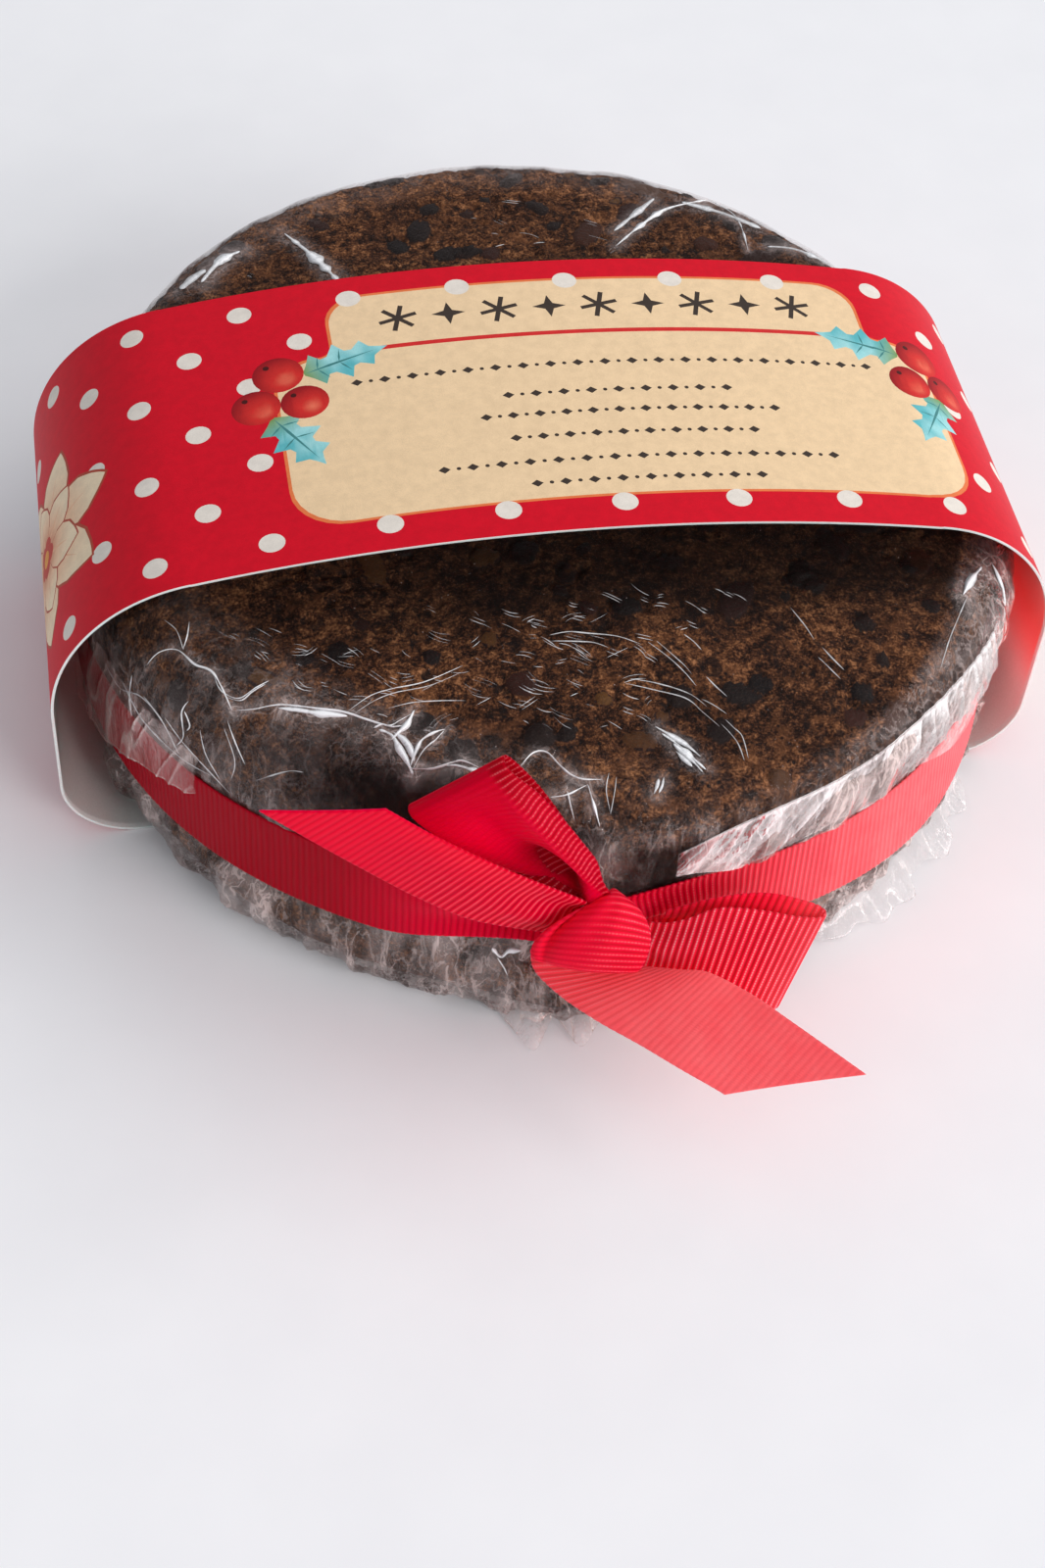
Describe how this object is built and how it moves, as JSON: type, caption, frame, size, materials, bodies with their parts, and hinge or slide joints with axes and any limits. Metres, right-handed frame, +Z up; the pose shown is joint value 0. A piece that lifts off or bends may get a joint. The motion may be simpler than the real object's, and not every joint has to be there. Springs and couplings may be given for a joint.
{
  "type": "wrapped fruit cake with paper sleeve and ribbon bow",
  "caption": "Round fruit cake in clear film, with a printed paper sleeve over it and a grosgrain ribbon tied round its side in a bow.",
  "frame": {"origin": "centre of the cake's base, at the underside of the paper sleeve", "axes": "+Z up through the cake, -Y towards the bow, X across the sleeve's width"},
  "size_m": [0.1672, 0.1999, 0.0632],
  "materials": {
    "cake": "dark fruit cake crumb behind clear glossy film",
    "paper": "satin printed paper, white inside and on its cut edges",
    "ribbon": "ribbed red grosgrain ribbon"
  },
  "bodies": {
    "root": {"wrapped_cake": "cake", "sleeve": "paper", "ribbon_band": "ribbon", "bow_knot": "ribbon", "bow_loop_left": "ribbon", "bow_loop_right": "ribbon", "ribbon_tail_left": "ribbon", "ribbon_tail_right": "ribbon"}
  },
  "joints": []
}
